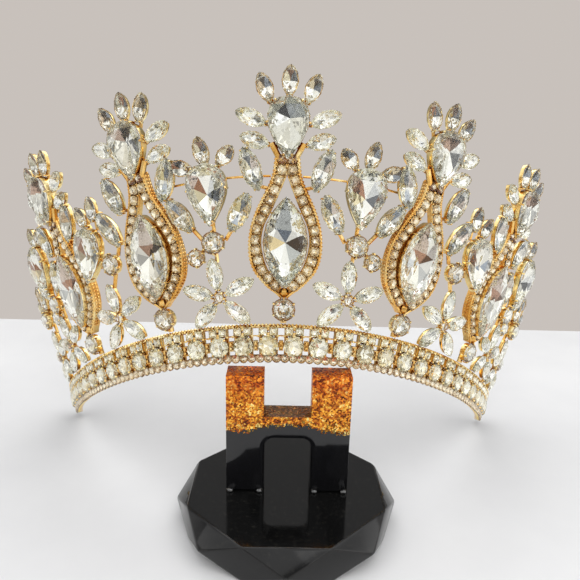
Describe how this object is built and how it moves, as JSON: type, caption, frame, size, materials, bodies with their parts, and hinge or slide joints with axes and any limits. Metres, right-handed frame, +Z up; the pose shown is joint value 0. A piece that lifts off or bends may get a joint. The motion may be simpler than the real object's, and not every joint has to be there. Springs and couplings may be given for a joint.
{
  "type": "crystal crown on display stand",
  "caption": "Tall openwork gold tiara crown set with clear navette, pear and round crystals, leaning on a black gem-cut base with a glitter resin upright.",
  "frame": {"origin": "middle of the stand base's underside", "axes": "+Z up, -Y towards the viewer that the crown faces, +X to that viewer's right"},
  "size_m": [0.1693, 0.0903, 0.116],
  "materials": {
    "gold_plating": "bright warm gold plating on cast alloy, orange-brown in the recesses",
    "crystal": "clear foil-backed cut glass with sharp facets",
    "small_crystal": "small round brilliants with a faint champagne tint",
    "black_resin": "polished black cast resin",
    "glitter_resin": "clear resin packed with orange-gold foil flakes above, polished black below"
  },
  "bodies": {
    "root": {"band": "gold_plating", "end_round_left": "crystal", "end_round_right": "crystal", "end_spray_left": "gold_plating", "end_spray_right": "gold_plating", "foot_round_centre": "crystal", "foot_round_left_1": "crystal", "foot_round_left_2": "crystal", "foot_round_right_1": "crystal", "foot_round_right_2": "crystal", "link_navette_centre_a": "crystal", "link_navette_centre_b": "crystal", "link_navette_left_1_a": "crystal", "link_navette_left_1_b": "crystal", "link_navette_left_2_a": "crystal", "link_navette_left_2_b": "crystal", "link_navette_right_1_a": "crystal", "link_navette_right_1_b": "crystal", "link_navette_right_2_a": "crystal", "link_navette_right_2_b": "crystal", "link_round_left_1": "crystal", "link_round_left_2": "crystal", "link_round_left_3": "crystal", "link_round_right_1": "crystal", "link_round_right_2": "crystal", "link_round_right_3": "crystal", "main_ornament_centre": "gold_plating", "main_ornament_left_1": "gold_plating", "main_ornament_left_2": "gold_plating", "main_ornament_right_1": "gold_plating", "main_ornament_right_2": "gold_plating", "navette_centre": "crystal", "navette_left_1": "crystal", "navette_left_2": "crystal", "navette_right_1": "crystal", "navette_right_2": "crystal", "side_ornament_left_1": "gold_plating", "side_ornament_left_2": "gold_plating", "side_ornament_left_3": "gold_plating", "side_ornament_right_1": "gold_plating", "side_ornament_right_2": "gold_plating", "side_ornament_right_3": "gold_plating", "side_pear_left_1": "crystal", "side_pear_left_2": "crystal", "side_pear_left_3": "crystal", "side_pear_right_1": "crystal", "side_pear_right_2": "crystal", "side_pear_right_3": "crystal", "stand_base": "black_resin", "stand_upright": "glitter_resin", "top_pear_centre": "crystal", "top_pear_left_1": "crystal", "top_pear_left_2": "crystal", "top_pear_right_1": "crystal", "top_pear_right_2": "crystal"}
  },
  "joints": []
}
